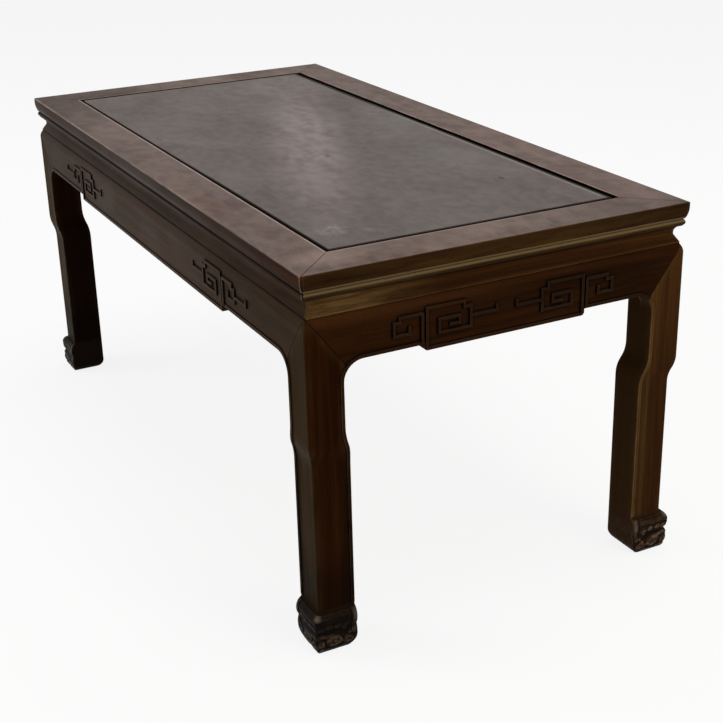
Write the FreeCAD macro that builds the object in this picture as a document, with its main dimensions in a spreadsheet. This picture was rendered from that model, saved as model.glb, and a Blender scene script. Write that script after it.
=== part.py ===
import FreeCAD, Part
import math
import operator
import os
from types import SimpleNamespace

import Sketcher

# A low waisted table of joined hardwood. Millimetres, X along its length, Y across it, Z up,
# origin on the floor under the middle of the top. Heights that end in _drop are measured down
# from the top face, and sizes that end in _inset are measured in from the outline of the top.

SIZES = {
    # Whole table
    "table_length": 920,
    "table_width": 460,
    "table_height": 422,
    # Clearances
    "joint_fit": 0.15,
    "mitre_gap": 0.4,
    "cut_overrun": 5,
    # Top frame
    "rail_width": 53,
    "rail_thickness": 27,
    "arris_radius": 1.4,
    "fascia_straight_drop": 6,
    "fascia_inset": 2.8,
    "bead_quirk_inset": 4.4,
    "bead_quirk_height": 1,
    "bead_height": 6.8,
    "bead_bulge": 2,
    "bead_foot_height": 0.6,
    "groove_lip": 6,
    "groove_height": 6,
    "groove_depth": 9,
    # Corner joint of the top frame
    "corner_tenon_cover": 12,
    "corner_tenon_width": 30,
    "corner_tenon_drop": 7,
    "corner_tenon_thickness": 7,
    "mitre_pin_radius": 2.5,
    "mitre_pin_cover": 4.5,
    "mitre_pin_wall": 0.7,
    # Floating panel and its battens
    "panel_gap_long": 5.2,
    "panel_gap_short": 3.6,
    "panel_shift": 1.2,
    "panel_sink": 0.4,
    "panel_reach": 7,
    "panel_edge_break": 0.8,
    "batten_width": 34,
    "batten_pitch": 240,
    "dovetail_height": 3.5,
    "dovetail_root": 15,
    "dovetail_flare": 2,
    "batten_tenon_width": 18,
    "batten_tenon_thickness": 8,
    "batten_tenon_length": 14,
    "batten_chamfer": 2.5,
    # Waist
    "waist_height": 19.5,
    "waist_top_inset": 5.5,
    "waist_deep_inset": 11.2,
    "waist_cove_height": 7.8,
    "waist_cove_bulge": 1.6,
    "waist_flat": 2.2,
    "waist_foot_inset": 6,
    "waist_foot_height": 1.3,
    "waist_tongue_inset": 13,
    "waist_tongue_thickness": 4,
    "waist_tongue_height": 3,
    # Aprons
    "apron_height": 49.7,
    "apron_centre_fall": 7.2,
    "face_inset": 2,
    "shoulder_inset": 5.6,
    "shoulder_height": 10.5,
    "shoulder_quirk": 0.9,
    "corner_radius": 22,
    "edge_bead_width": 3.8,
    "edge_bead_proud": 1,
    # Carved fret on the aprons
    "fret_line": 4.2,
    "fret_end_bulge": 1.5,
    "fret_proud": 1.9,
    "fret_draft_angle": 18,
    "fret_top_fall": 12,
    "fret_height": 28.5,
    "fret_spiral_length": 51,
    "fret_curl_length": 32,
    "fret_tail_length": 31,
    "fret_bar_pitch": 5.2,
    "short_fret_place": 94,
    "long_fret_place": 250,
    # Legs
    "leg_inner_inset": 42.5,
    "core_inset": 20,
    "leg_arris_radius": 2.6,
    "knee_top_drop": 177,
    "knee_height": 33,
    "knee_outer_shift": 5.7,
    "knee_inner_rise": 11,
    "knee_inner_height": 40,
    "knee_inner_shift": 7,
    "leg_tenon_height": 9,
    "leg_tenon_thickness": 9,
    "leg_tenon_width": 8,
    "leg_tenon_margin": 1.2,
    "key_root": 8,
    "key_flare": 1.5,
    "key_depth": 6,
    "key_top_fall": 5.5,
    # Feet
    "foot_height": 49,
    "foot_neck_fall": 6,
    "foot_neck_inset": 3.2,
    "foot_neck_bulge": 1.1,
    "foot_roll_height": 16.6,
    "foot_roll_bulge": 2.2,
    "foot_notch_fall": 1.2,
    "foot_notch_inset": 3.6,
    "foot_block_bulge": 2.4,
    "foot_sole_inset": 5.2,
    "foot_inner_round": 14,
    "foot_inner_bulge": 2.3,
    "foot_sole_inner_set_back": 8.5,
}

# The fret is drawn as centre lines. Each place is a share of the length of its own part, out
# from the double bar, and a share of the fret's height, down from its top line.
SPIRAL_SHARES = (
    (0.0, 0.0), (0.85, 0.0), (0.85, 0.22), (1.0, 0.22), (1.0, 1.0),
    (0.28, 1.0), (0.28, 0.5), (0.74, 0.5), (0.74, 0.76), (0.52, 0.76),
)
CURL_SHARES = (
    (0.0, 0.16), (0.8, 0.16), (0.8, 0.32), (1.0, 0.32), (1.0, 0.8), (0.46, 0.8), (0.46, 0.54),
)
TAIL_SHARES = ((0.0, 0.6), (1.0, 0.6), (1.0, 0.4))

ACROSS = {"X": FreeCAD.Vector(1, 0, 0), "Y": FreeCAD.Vector(0, 1, 0)}
DIAGONAL = FreeCAD.Vector(1, -1, 0)
UPRIGHT = FreeCAD.Vector(0, 0, 1)
QUARTER_TURN = 90

# Half of the gap measured square to a mitre is this share of it measured along the piece.
HALF_DIAGONAL_SHARE = 1 / math.sqrt(2)

# Two heights closer than this are the same height.
HEIGHT_TOLERANCE = 1e-6

OPERATIONS = {
    "+": operator.add,
    "-": operator.sub,
    "*": operator.mul,
    "/": operator.truediv,
}


class Size:
    """A length, with the formula over the sheet that gives it."""

    def __init__(self, value, formula):
        self.value = value
        self.formula = formula

    def __add__(self, other):
        return combine(self, "+", other)

    def __radd__(self, other):
        return combine(other, "+", self)

    def __sub__(self, other):
        return combine(self, "-", other)

    def __rsub__(self, other):
        return combine(other, "-", self)

    def __mul__(self, other):
        return combine(self, "*", other)

    def __rmul__(self, other):
        return combine(other, "*", self)

    def __truediv__(self, other):
        return combine(self, "/", other)

    def __neg__(self):
        return Size(-self.value, f"(-{self.formula})")


def as_size(item):
    return item if isinstance(item, Size) else Size(item, repr(item))


def combine(left, sign, right):
    left, right = as_size(left), as_size(right)
    value = OPERATIONS[sign](left.value, right.value)
    return Size(value, f"({left.formula} {sign} {right.formula})")


def make_sheet(document):
    """Write the driving sizes and give them back by name."""
    sheet = document.addObject("Spreadsheet::Sheet", "Sizes")
    for row, (name, value) in enumerate(SIZES.items(), start=1):
        sheet.set(f"A{row}", str(value))
        sheet.setAlias(f"A{row}", name)
    document.recompute()
    return SimpleNamespace(**{
        name: Size(float(sheet.get(name)), f"Sizes.{name}") for name in SIZES
    })


doc = FreeCAD.newDocument("KangTable")
s = make_sheet(doc)

# Places that follow from the sizes: down from the top face, and then up from the floor.
s.bead_bottom_drop = s.rail_thickness - s.bead_foot_height
s.bead_top_drop = s.bead_bottom_drop - s.bead_height
s.fascia_drop = s.bead_top_drop - s.bead_quirk_height
s.waist_deep_drop = s.rail_thickness + s.waist_cove_height
s.apron_top_drop = s.rail_thickness + s.waist_height
s.shoulder_drop = s.apron_top_drop + s.shoulder_height
s.key_top_drop = s.apron_top_drop + s.key_top_fall
s.fret_top_drop = s.apron_top_drop + s.fret_top_fall
s.apron_edge_drop = s.apron_top_drop + s.apron_height
s.apron_centre_drop = s.apron_edge_drop + s.apron_centre_fall
s.knee_bottom_drop = s.knee_top_drop + s.knee_height
s.knee_inner_top_drop = s.knee_top_drop - s.knee_inner_rise
s.knee_inner_bottom_drop = s.knee_inner_top_drop + s.knee_inner_height
s.foot_neck_height = s.foot_height - s.foot_neck_fall
s.foot_roll_foot = s.foot_neck_height - s.foot_roll_height
s.foot_notch_height = s.foot_roll_foot - s.foot_notch_fall

# The pins stand clear of the waist, and clear of the mitre of the frame.
s.mitre_pin_end_inset = s.core_inset + s.mitre_pin_radius + s.mitre_pin_wall
s.mitre_pin_side_inset = s.mitre_pin_end_inset + 2 * s.mitre_pin_radius


def half(size):
    return size / 2


def bulge_radius(run, rise, bulge):
    """The radius of an arc that stands out from its chord by a bulge."""
    return (run * run + rise * rise) / (8 * bulge) + half(bulge)


def bind(item, **sizes):
    """Tie properties of an object to the sheet. A double underscore stands for a dot."""
    for name, size in sizes.items():
        item.setExpression(name.replace("__", "."), as_size(size).formula)


# Outlines. A corner is (x, y), an arc that ends at a corner is (x, y, radius, turn), where the
# turn is LEFT or RIGHT, the way the outline bends on its way there.

LEFT, RIGHT = 1, -1


def arc_centre(start, end, radius, turn):
    middle = (start + end) / 2
    chord = end - start
    rise = math.sqrt(max(radius ** 2 - (chord.Length / 2) ** 2, 0))
    left_of_chord = FreeCAD.Vector(-chord.y, chord.x, 0).normalize()
    return middle + left_of_chord * rise * turn


def draw_arc(sketch, start, end, radius, turn):
    """Add one arc and say which of its ends it starts and finishes with."""
    centre = arc_centre(start, end, radius, turn)
    first, last = (start, end) if turn == LEFT else (end, start)
    angles = [math.atan2(point.y - centre.y, point.x - centre.x) for point in (first, last)]
    circle = Part.Circle(centre, UPRIGHT, radius)
    edge = sketch.addGeometry(Part.ArcOfCircle(circle, *angles), False)
    return (edge, 1, 2) if turn == LEFT else (edge, 2, 1)


def pin_point(sketch, edge, end, place):
    """Hold one end of an edge at its named place."""
    for kind, size, axis in zip(("DistanceX", "DistanceY"), place, (-2, -1)):
        if size.value == 0:
            sketch.addConstraint(Sketcher.Constraint("PointOnObject", edge, end, axis))
            continue
        number = sketch.addConstraint(Sketcher.Constraint(kind, -1, 1, edge, end, size.value))
        sketch.setExpression(f"Constraints[{number}]", size.formula)


def draw_outline(sketch, corners):
    """Draw one closed outline through its corners."""
    corners = [tuple(as_size(item) for item in corner[:3]) + corner[3:] for corner in corners]
    points = [FreeCAD.Vector(corner[0].value, corner[1].value, 0) for corner in corners]
    edges = []
    for start, end, corner in zip(points[-1:] + points[:-1], points, corners):
        if len(corner) == 2:
            edge = sketch.addGeometry(Part.LineSegment(start, end), False)
            edges.append((edge, 1, 2))
        else:
            edges.append(draw_arc(sketch, start, end, corner[2].value, corner[3]))
    for (edge, first, _), (before, _, last), corner, place in zip(
            edges, edges[-1:] + edges[:-1], corners, corners[-1:] + corners[:-1]):
        sketch.addConstraint(Sketcher.Constraint("Coincident", before, last, edge, first))
        pin_point(sketch, edge, first, place[:2])
        if len(corner) > 2:
            radius = Sketcher.Constraint("Radius", edge, corner[2].value)
            number = sketch.addConstraint(radius)
            sketch.setExpression(f"Constraints[{number}]", corner[2].formula)


def draw_circle(sketch, x, y, radius):
    centre = FreeCAD.Vector(x.value, y.value, 0)
    edge = sketch.addGeometry(Part.Circle(centre, UPRIGHT, radius.value), False)
    pin_point(sketch, edge, 3, (x, y))
    number = sketch.addConstraint(Sketcher.Constraint("Radius", edge, radius.value))
    sketch.setExpression(f"Constraints[{number}]", radius.formula)


def rectangle(x_low, x_high, y_low, y_high):
    return [(x_low, y_low), (x_high, y_low), (x_high, y_high), (x_low, y_high)]


def flipped(corners):
    """The same outline on the other side of the upright axis."""
    turned = [(-corner[0],) + tuple(corner[1:3]) + tuple(-turn for turn in corner[3:])
              for corner in corners]
    return turned


# Pieces built as a body: a sketch on one of its own base planes, then pads and pockets.

def new_body(label):
    body = doc.addObject("PartDesign::Body", label)
    body.Label = label
    return body


def base_plane(body, role):
    return next(item for item in body.Origin.OriginFeatures if item.Role == role)


def body_sketch(body, name, role, outlines, height=None):
    """Sketch on a base plane of the body, or on a plane at a height over it."""
    sketch = body.newObject("Sketcher::SketchObject", f"{body.Label}_{name}_sketch")
    sketch.AttachmentSupport = (base_plane(body, role), "")
    sketch.MapMode = "FlatFace"
    if height is not None:
        bind(sketch, AttachmentOffset__Base__z=height)
    for corners in outlines:
        draw_outline(sketch, corners)
    return sketch


def body_feature(body, kind, name, sketch, length, both_ways=False, reverse=False):
    feature = body.newObject(f"PartDesign::{kind}", f"{body.Label}_{name}")
    feature.Profile = sketch
    feature.SideType = "Symmetric" if both_ways else "One side"
    feature.Reversed = reverse
    bind(feature, Length=length)
    return feature


def pad(body, name, role, outlines, length, height=None, **way):
    sketch = body_sketch(body, name, role, outlines, height)
    return body_feature(body, "Pad", name, sketch, length, **way)


def pocket(body, name, role, outlines, length, height=None, **way):
    sketch = body_sketch(body, name, role, outlines, height)
    return body_feature(body, "Pocket", name, sketch, length, **way)


def place_on_short_side(body):
    body.Placement = FreeCAD.Placement(
        FreeCAD.Vector(0, 0, 0), FreeCAD.Rotation(UPRIGHT, QUARTER_TURN))


def mirrored(label, source, normal):
    """The same piece on the far side of the table, or of a leg."""
    copy = doc.addObject("Part::Mirroring", label)
    copy.Label = label
    copy.Source = source
    copy.Normal = normal
    return copy


# Long pieces are drawn along X with their face towards -Y. Their span is the outline of the top
# along them, and their reach is the distance from the middle of the table to that outline.

def from_top(drop):
    return s.table_height - drop


def section(reach, profile):
    """A cross-section given as (inset, drop) places, drawn across a long piece."""
    corners = [(corner[0] - reach, from_top(corner[1])) + tuple(corner[2:]) for corner in profile]
    return corners


def end_mitres(body, span, reach):
    """Cut both ends on the diagonal of the corner, each by half of the mitre gap."""
    out = s.cut_overrun
    depth = s.rail_width + out
    end = half(span) - s.mitre_gap * HALF_DIAGONAL_SHARE
    corner = [
        (end + out, -reach - out),
        (half(span) + out, -reach - out),
        (half(span) + out, depth - reach),
        (end - depth, depth - reach),
    ]
    pocket(body, "end_mitres", "XY_Plane", [corner, flipped(corner)],
           s.table_height + out, reverse=True)


# Top frame

def rail_profile():
    """The moulded face, the panel groove and the groove for the waist."""
    tongue_low = s.waist_tongue_inset - s.joint_fit
    tongue_high = s.waist_tongue_inset + s.waist_tongue_thickness + s.joint_fit
    tongue_drop = s.rail_thickness - s.waist_tongue_height - s.joint_fit
    groove_bottom = s.groove_lip + s.groove_height
    groove_back = s.rail_width - s.groove_depth
    curve_drop = s.fascia_drop - s.fascia_straight_drop
    curve_radius = (curve_drop * curve_drop / s.fascia_inset + s.fascia_inset) / 2
    bead_radius = bulge_radius(as_size(0), s.bead_height, s.bead_bulge)
    return [
        (s.arris_radius, as_size(0)),
        (as_size(0), s.arris_radius, s.arris_radius, LEFT),
        (as_size(0), s.fascia_straight_drop),
        (s.fascia_inset, s.fascia_drop, curve_radius, LEFT),
        (s.bead_quirk_inset, s.bead_top_drop),
        (s.bead_quirk_inset, s.bead_bottom_drop, bead_radius, LEFT),
        (s.bead_quirk_inset, s.rail_thickness),
        (tongue_low, s.rail_thickness),
        (tongue_low, tongue_drop),
        (tongue_high, tongue_drop),
        (tongue_high, s.rail_thickness),
        (s.rail_width, s.rail_thickness),
        (s.rail_width, groove_bottom),
        (groove_back, groove_bottom),
        (groove_back, s.groove_lip),
        (s.rail_width, s.groove_lip),
        (s.rail_width, as_size(0)),
    ]


def both_ends(span, reach, near_end, far_end, near_face, far_face):
    """Rectangles in plan at both ends of a long piece, given by insets from end and face."""
    block = rectangle(half(span) - far_end, half(span) - near_end,
                      near_face - reach, far_face - reach)
    return [block, flipped(block)]


def leg_mortises(body, span, reach):
    near_end = s.leg_inner_inset - s.leg_tenon_margin - s.leg_tenon_width - s.joint_fit
    far_end = s.leg_inner_inset - s.leg_tenon_margin + s.joint_fit
    near_face = s.core_inset + s.leg_tenon_margin - s.joint_fit
    far_face = s.core_inset + s.leg_tenon_margin + s.leg_tenon_thickness + s.joint_fit
    pocket(body, "leg_mortises", "XY_Plane",
           both_ends(span, reach, near_end, far_end, near_face, far_face),
           s.leg_tenon_height + s.joint_fit,
           height=from_top(s.rail_thickness), reverse=True)


def pin_holes(body, end_inset, face_inset, span, reach):
    sketch = body_sketch(body, "pin_holes", "XY_Plane", [], height=from_top(s.rail_thickness))
    for side in (-1, 1):
        draw_circle(sketch, side * (half(span) - end_inset), face_inset - reach,
                    s.mitre_pin_radius + s.joint_fit)
    depth = s.rail_thickness - s.mitre_pin_cover + s.joint_fit
    body_feature(body, "Pocket", "pin_holes", sketch, depth, reverse=True)


def top_rail(label, span, reach):
    body = new_body(label)
    pad(body, "length", "YZ_Plane", [section(reach, rail_profile())], span, both_ways=True)
    end_mitres(body, span, reach)
    leg_mortises(body, span, reach)
    return body


def long_rail(label):
    span, reach = s.table_length, half(s.table_width)
    body = top_rail(label, span, reach)
    near = s.corner_tenon_cover
    far = near + s.corner_tenon_width
    pad(body, "corner_tenons", "XY_Plane",
        both_ends(span, reach, near, far, near, far), s.corner_tenon_thickness,
        height=from_top(s.corner_tenon_drop), reverse=True)
    pin_holes(body, s.mitre_pin_end_inset, s.mitre_pin_side_inset, span, reach)
    fit = s.joint_fit
    low = from_top(s.rail_thickness - half(batten_height()) + half(s.batten_tenon_thickness))
    mortises = [
        rectangle(place - half(s.batten_tenon_width) - fit,
                  place + half(s.batten_tenon_width) + fit,
                  low - fit, low + s.batten_tenon_thickness + fit)
        for place in batten_places()
    ]
    pocket(body, "batten_mortises", "XZ_Plane", mortises, s.batten_tenon_length + fit,
           height=reach - s.rail_width, reverse=True)
    return body


def short_rail(label):
    span, reach = s.table_width, half(s.table_length)
    body = top_rail(label, span, reach)
    fit = s.joint_fit
    near = s.corner_tenon_cover - fit
    far = s.corner_tenon_cover + s.corner_tenon_width + fit
    pocket(body, "corner_mortises", "XY_Plane",
           both_ends(span, reach, near, far, near, far),
           s.corner_tenon_thickness + fit + fit,
           height=from_top(s.corner_tenon_drop - fit))
    pin_holes(body, s.mitre_pin_side_inset, s.mitre_pin_end_inset, span, reach)
    place_on_short_side(body)
    return body


def mitre_pins(label):
    """A round wooden pin in each corner, up through the mortise cheeks and the tenon."""
    pins = []
    for name, side_x, side_y in (("front_left", -1, -1), ("front_right", 1, -1),
                                 ("back_left", -1, 1), ("back_right", 1, 1)):
        pin = doc.addObject("Part::Cylinder", f"mitre_pin_{name}")
        bind(pin, Radius=s.mitre_pin_radius,
             Height=s.rail_thickness - s.mitre_pin_cover - s.joint_fit,
             Placement__Base__x=side_x * (half(s.table_length) - s.mitre_pin_end_inset),
             Placement__Base__y=side_y * (half(s.table_width) - s.mitre_pin_side_inset),
             Placement__Base__z=from_top(s.rail_thickness - s.joint_fit))
        pins.append(pin)
    group = doc.addObject("Part::Compound", label)
    group.Label = label
    group.Links = pins
    return group


# Panel and battens

def panel_underside_drop():
    return s.groove_lip + s.groove_height - s.joint_fit


def batten_height():
    return s.rail_thickness - panel_underside_drop()


def batten_places():
    return [s.batten_pitch * step for step in (-1, 0, 1)]


def dovetail(place, top, height, slack):
    """A dovetail section that widens upwards from its root at one steady slope."""
    root = half(s.dovetail_root) + slack
    tip = root + s.dovetail_flare * (height / s.dovetail_height)
    bottom = top - height
    return [(place - root, bottom), (place + root, bottom), (place + tip, top), (place - tip, top)]


def top_panel(label):
    """A flat field with a tongue all round it, free to move in the groove of the frame.

    It has shrunk and slid a little along its battens, so the gap behind it is the wider one.
    """
    body = new_body(label)
    inner_x = half(s.table_length) - s.rail_width
    inner_y = half(s.table_width) - s.rail_width
    field_x = inner_x - s.panel_gap_short
    field_y = inner_y - s.panel_gap_long
    tongue_x = inner_x + s.panel_reach
    tongue_y = inner_y + s.panel_reach
    underside = from_top(panel_underside_drop())
    tongue_top = from_top(s.groove_lip + s.joint_fit)
    top = from_top(s.panel_sink)
    pad(body, "tongue", "XY_Plane", [rectangle(-tongue_x, tongue_x, -tongue_y, tongue_y)],
        tongue_top - underside, height=underside)
    pad(body, "field", "XY_Plane", [rectangle(-field_x, field_x, -field_y, field_y)],
        top - underside, height=underside)
    slots = [
        dovetail(place, underside + s.dovetail_height + s.joint_fit,
                 s.dovetail_height + s.joint_fit + s.joint_fit, s.joint_fit)
        for place in batten_places()
    ]
    pocket(body, "batten_slots", "XZ_Plane", slots, s.table_width, both_ways=True)
    doc.recompute()
    square = body.Tip
    edges = [
        f"Edge{number}" for number, edge in enumerate(square.Shape.Edges, start=1)
        if all(abs(point.Point.z - top.value) < HEIGHT_TOLERANCE for point in edge.Vertexes)
    ]
    arris = body.newObject("PartDesign::Chamfer", f"{label}_arris")
    arris.Base = (square, edges)
    bind(arris, Size=s.panel_edge_break)
    bind(body, Placement__Base__y=-s.panel_shift)
    return body


def batten(label, place):
    """A cross batten, dovetailed up into the panel and tenoned into both long rails."""
    body = new_body(label)
    fit = s.joint_fit
    inner = half(s.table_width) - s.rail_width
    length = 2 * (inner - fit)
    bottom = from_top(s.rail_thickness)
    top = from_top(panel_underside_drop()) - fit
    side = half(s.batten_width)
    edge = s.batten_chamfer
    profile = [
        (-side, bottom + edge), (edge - side, bottom), (side - edge, bottom),
        (side, bottom + edge), (side, top), (-side, top),
    ]
    pad(body, "bar", "XZ_Plane", [profile], length, both_ways=True)
    pad(body, "dovetail", "XZ_Plane",
        [dovetail(as_size(0), top + s.dovetail_height, s.dovetail_height, as_size(0))],
        length, both_ways=True)
    low = from_top(s.rail_thickness - half(batten_height()) + half(s.batten_tenon_thickness))
    tenon = rectangle(-half(s.batten_tenon_width), half(s.batten_tenon_width),
                      low, low + s.batten_tenon_thickness)
    pad(body, "tenons", "XZ_Plane", [tenon],
        2 * (inner + s.batten_tenon_length - fit), both_ways=True)
    bind(body, Placement__Base__x=place)
    return body


# Waist

def waist(label, span, reach):
    """A hollow strip between the top frame and the apron, tongued into both."""
    body = new_body(label)
    back = s.core_inset - s.joint_fit
    tongue_low = s.waist_tongue_inset
    tongue_high = s.waist_tongue_inset + s.waist_tongue_thickness
    tongue_top = s.rail_thickness - s.waist_tongue_height
    tongue_bottom = s.apron_top_drop + s.waist_tongue_height
    foot_drop = s.apron_top_drop - s.waist_foot_height
    cove_radius = bulge_radius(
        s.waist_deep_inset - s.waist_top_inset, s.waist_cove_height, s.waist_cove_bulge)
    profile = [
        (s.waist_top_inset, s.rail_thickness),
        (s.waist_deep_inset, s.waist_deep_drop, cove_radius, RIGHT),
        (s.waist_deep_inset, s.waist_deep_drop + s.waist_flat),
        (s.waist_foot_inset, foot_drop),
        (s.waist_foot_inset, s.apron_top_drop),
        (tongue_low, s.apron_top_drop),
        (tongue_low, tongue_bottom),
        (tongue_high, tongue_bottom),
        (tongue_high, s.apron_top_drop),
        (back, s.apron_top_drop),
        (back, s.rail_thickness),
        (tongue_high, s.rail_thickness),
        (tongue_high, tongue_top),
        (tongue_low, tongue_top),
        (tongue_low, s.rail_thickness),
    ]
    pad(body, "length", "YZ_Plane", [section(reach, profile)], span, both_ways=True)
    end_mitres(body, span, reach)
    return body


# Mitre between apron and leg: from the top of the apron at the corner down to the inner corner.

def mitre_drop(inset):
    fall = s.apron_edge_drop - s.apron_top_drop
    run = s.leg_inner_inset - s.shoulder_inset
    return s.apron_top_drop + fall * (inset - s.shoulder_inset) / run


def stroke(line, width, end_bulge):
    """The outline of a band that follows a line of square turns, with rounded ends."""
    steps = []
    for (x, y), (next_x, next_y) in zip(line, line[1:]):
        run, rise = next_x.value - x.value, next_y.value - y.value
        steps.append((int(math.copysign(1, run)), 0) if abs(run) > abs(rise)
                     else (0, int(math.copysign(1, rise))))
    left, right = [], []
    for number, (x, y) in enumerate(line):
        near = set(steps[max(number - 1, 0):number + 1])
        away_x = sum(-rise for _, rise in near)
        away_y = sum(run for run, _ in near)
        left.append((x + away_x * half(width), y + away_y * half(width)))
        right.append((x - away_x * half(width), y - away_y * half(width)))
    turn = (bulge_radius(width, as_size(0), end_bulge), RIGHT)
    return [left[0] + turn] + left[1:] + [right[-1] + turn] + right[-2::-1]


def fret_line(place, way, length, shares):
    """A line of the fret in elevation, from its shares."""
    return [
        (place + way * length * along, from_top(s.fret_top_drop + s.fret_height * down))
        for along, down in shares
    ]


def fret_lines(place, has_outer_tail):
    """The centre lines of the fret on the right half of an apron."""
    bar_foot = from_top(s.apron_centre_drop - half(s.edge_bead_width))
    outer_bar = place + s.fret_bar_pitch
    outer_foot = from_top(s.apron_edge_drop - half(s.edge_bead_width))
    spiral = fret_line(place, -1, s.fret_spiral_length, SPIRAL_SHARES)
    curl = fret_line(outer_bar, 1, s.fret_curl_length, CURL_SHARES)
    lines = {
        "spiral": [(place, bar_foot)] + spiral,
        "outer_bar": [(outer_bar, outer_foot), curl[0]],
        "curl": curl,
        "inner_tail": fret_line(place - s.fret_spiral_length, -1, s.fret_tail_length, TAIL_SHARES),
    }
    if has_outer_tail:
        lines["outer_tail"] = fret_line(
            outer_bar + s.fret_curl_length, 1, s.fret_tail_length, TAIL_SHARES)
    return lines


def apron_half_outline(span, step, grow):
    """The right half of the lower edge, or a line a little inside it, from the middle out."""
    inner = half(span) - s.leg_inner_inset
    radius = s.corner_radius + grow
    low = from_top(s.apron_centre_drop) + grow
    edge = from_top(s.apron_edge_drop) + grow
    turn = s.edge_bead_width - grow
    rounded = [
        (step - s.edge_bead_width, low),
        (step - grow, low + turn, turn, LEFT),
    ]
    square = [(step - grow, low)]
    corner = rounded if grow.value == 0 else square
    return corner + [
        (step - grow, edge),
        (inner - s.corner_radius, edge),
        (inner + grow, from_top(s.apron_edge_drop + s.corner_radius), radius, RIGHT),
    ]


def backwards(corners):
    """The same outline walked the other way."""
    turned = []
    for number in range(len(corners) - 1, -1, -1):
        after = corners[number + 1] if number + 1 < len(corners) else ()
        arc = (after[2], -after[3]) if len(after) > 2 else ()
        turned.append(tuple(corners[number][:2]) + arc)
    return turned


def whole_edge(half_edge):
    """Both halves of a lower edge, from the left end to the right end."""
    return backwards(flipped(half_edge)) + half_edge


def apron(label, span, reach, place, has_outer_tail):
    """A board under the waist, mitred onto the legs, with a raised edge bead and a carved fret."""
    body = new_body(label)
    out = s.cut_overrun
    thickness = s.core_inset - s.joint_fit - s.face_inset
    step = place + s.fret_bar_pitch - half(s.fret_line)
    end = half(span)
    lower = whole_edge(apron_half_outline(span, step, as_size(0)))
    inside = whole_edge(apron_half_outline(span, step, s.edge_bead_width))
    top = from_top(s.apron_top_drop)
    bottom = from_top(s.apron_edge_drop + s.corner_radius)
    face = reach - s.face_inset
    board = lower + [(end, bottom), (end, top), (-end, top), (-end, bottom)]
    pad(body, "board", "XZ_Plane", [board], thickness, height=face, reverse=True)
    bead = lower + backwards(inside)
    pad(body, "edge_bead", "XZ_Plane", [bead], s.edge_bead_proud, height=face)
    end_mitres(body, span, reach)
    far = s.leg_inner_inset + s.corner_radius + out
    shoulder = [
        (end + out, from_top(mitre_drop(-out))),
        (end - far, from_top(mitre_drop(far))),
        (end - far, bottom - out - out),
        (end + out, bottom - out - out),
    ]
    pocket(body, "leg_mitres", "XZ_Plane", [shoulder, flipped(shoulder)], 2 * (reach + out),
           both_ways=True)
    round_over = [
        (s.face_inset, s.shoulder_drop),
        (s.shoulder_inset, s.apron_top_drop + s.shoulder_quirk, shoulder_radius(), RIGHT),
        (s.shoulder_inset + s.shoulder_quirk, s.apron_top_drop),
        (s.shoulder_inset + s.shoulder_quirk, s.apron_top_drop - out),
        (-out, s.apron_top_drop - out),
        (-out, s.shoulder_drop),
    ]
    pocket(body, "round_over", "YZ_Plane", [section(reach, round_over)], span + out,
           both_ways=True)
    fit = s.joint_fit
    groove = [
        (s.waist_tongue_inset - fit, s.apron_top_drop - out),
        (s.waist_tongue_inset + s.waist_tongue_thickness + fit, s.apron_top_drop - out),
        (s.waist_tongue_inset + s.waist_tongue_thickness + fit,
         s.apron_top_drop + s.waist_tongue_height + fit),
        (s.waist_tongue_inset - fit, s.apron_top_drop + s.waist_tongue_height + fit),
    ]
    pocket(body, "waist_groove", "YZ_Plane", [section(reach, groove)], span + out,
           both_ways=True)
    slot = [(end - inset, across - reach) for inset, across in key_plan(fit, out)]
    pocket(body, "key_slots", "XY_Plane", [slot, flipped(slot)], s.apron_edge_drop,
           height=from_top(s.key_top_drop - fit))
    carve_fret(body, fret_lines(place, has_outer_tail), face)
    return body


def shoulder_radius():
    """The radius that leaves the face without a break and reaches the top inset."""
    rise = s.shoulder_drop - s.apron_top_drop - s.shoulder_quirk
    run = s.shoulder_inset - s.face_inset
    return (rise * rise / run + run) / 2


def carve_fret(body, lines, face):
    """Raise each line of the fret from the face, with leaning sides, on both halves."""
    carved = []
    for name, line in lines.items():
        band = stroke(line, s.fret_line, s.fret_end_bulge)
        ridge = pad(body, f"fret_{name}", "XZ_Plane", [band], s.fret_proud, height=face)
        bind(ridge, TaperAngle=-s.fret_draft_angle)
        carved.append(ridge)
    other_half = body.newObject("PartDesign::Mirrored", f"{body.Label}_fret_mirrored")
    other_half.Originals = carved
    other_half.MirrorPlane = (base_plane(body, "YZ_Plane"), [""])
    body.Tip = other_half


def key_plan(slack, overlap):
    """The upright dovetail key behind the apron, in plan, as (inset along, inset across)."""
    middle = half(s.core_inset + s.leg_inner_inset)
    root = half(s.key_root) + slack
    tip = root + s.key_flare
    front = s.core_inset - s.key_depth - slack
    lean = (tip - root) * (overlap / (s.key_depth + slack))
    return [
        (middle - root + lean, s.core_inset + overlap),
        (middle + root - lean, s.core_inset + overlap),
        (middle + tip, front),
        (middle - tip, front),
    ]


# Legs. The leg is drawn at the front left corner, with both insets growing from that corner, and
# the three others are its mirror images.

def loose_sketch(name, outlines, upright=True):
    sketch = doc.addObject("Sketcher::SketchObject", name)
    if upright:
        sketch.Placement = FreeCAD.Placement(
            FreeCAD.Vector(0, 0, 0), FreeCAD.Rotation(ACROSS["X"], QUARTER_TURN))
    for corners in outlines:
        draw_outline(sketch, corners)
    return sketch


def extrusion(name, sketch, direction, start, end):
    """Carry a sketch from one distance to another along a direction."""
    solid = doc.addObject("Part::Extrusion", name)
    solid.Base = sketch
    solid.DirMode = "Custom"
    solid.Dir = direction
    solid.Solid = True
    bind(solid, LengthFwd=end, LengthRev=-start)
    return solid


def joined(kind, name, shapes):
    result = doc.addObject(f"Part::Multi{kind}", name)
    result.Shapes = shapes
    return result


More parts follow.
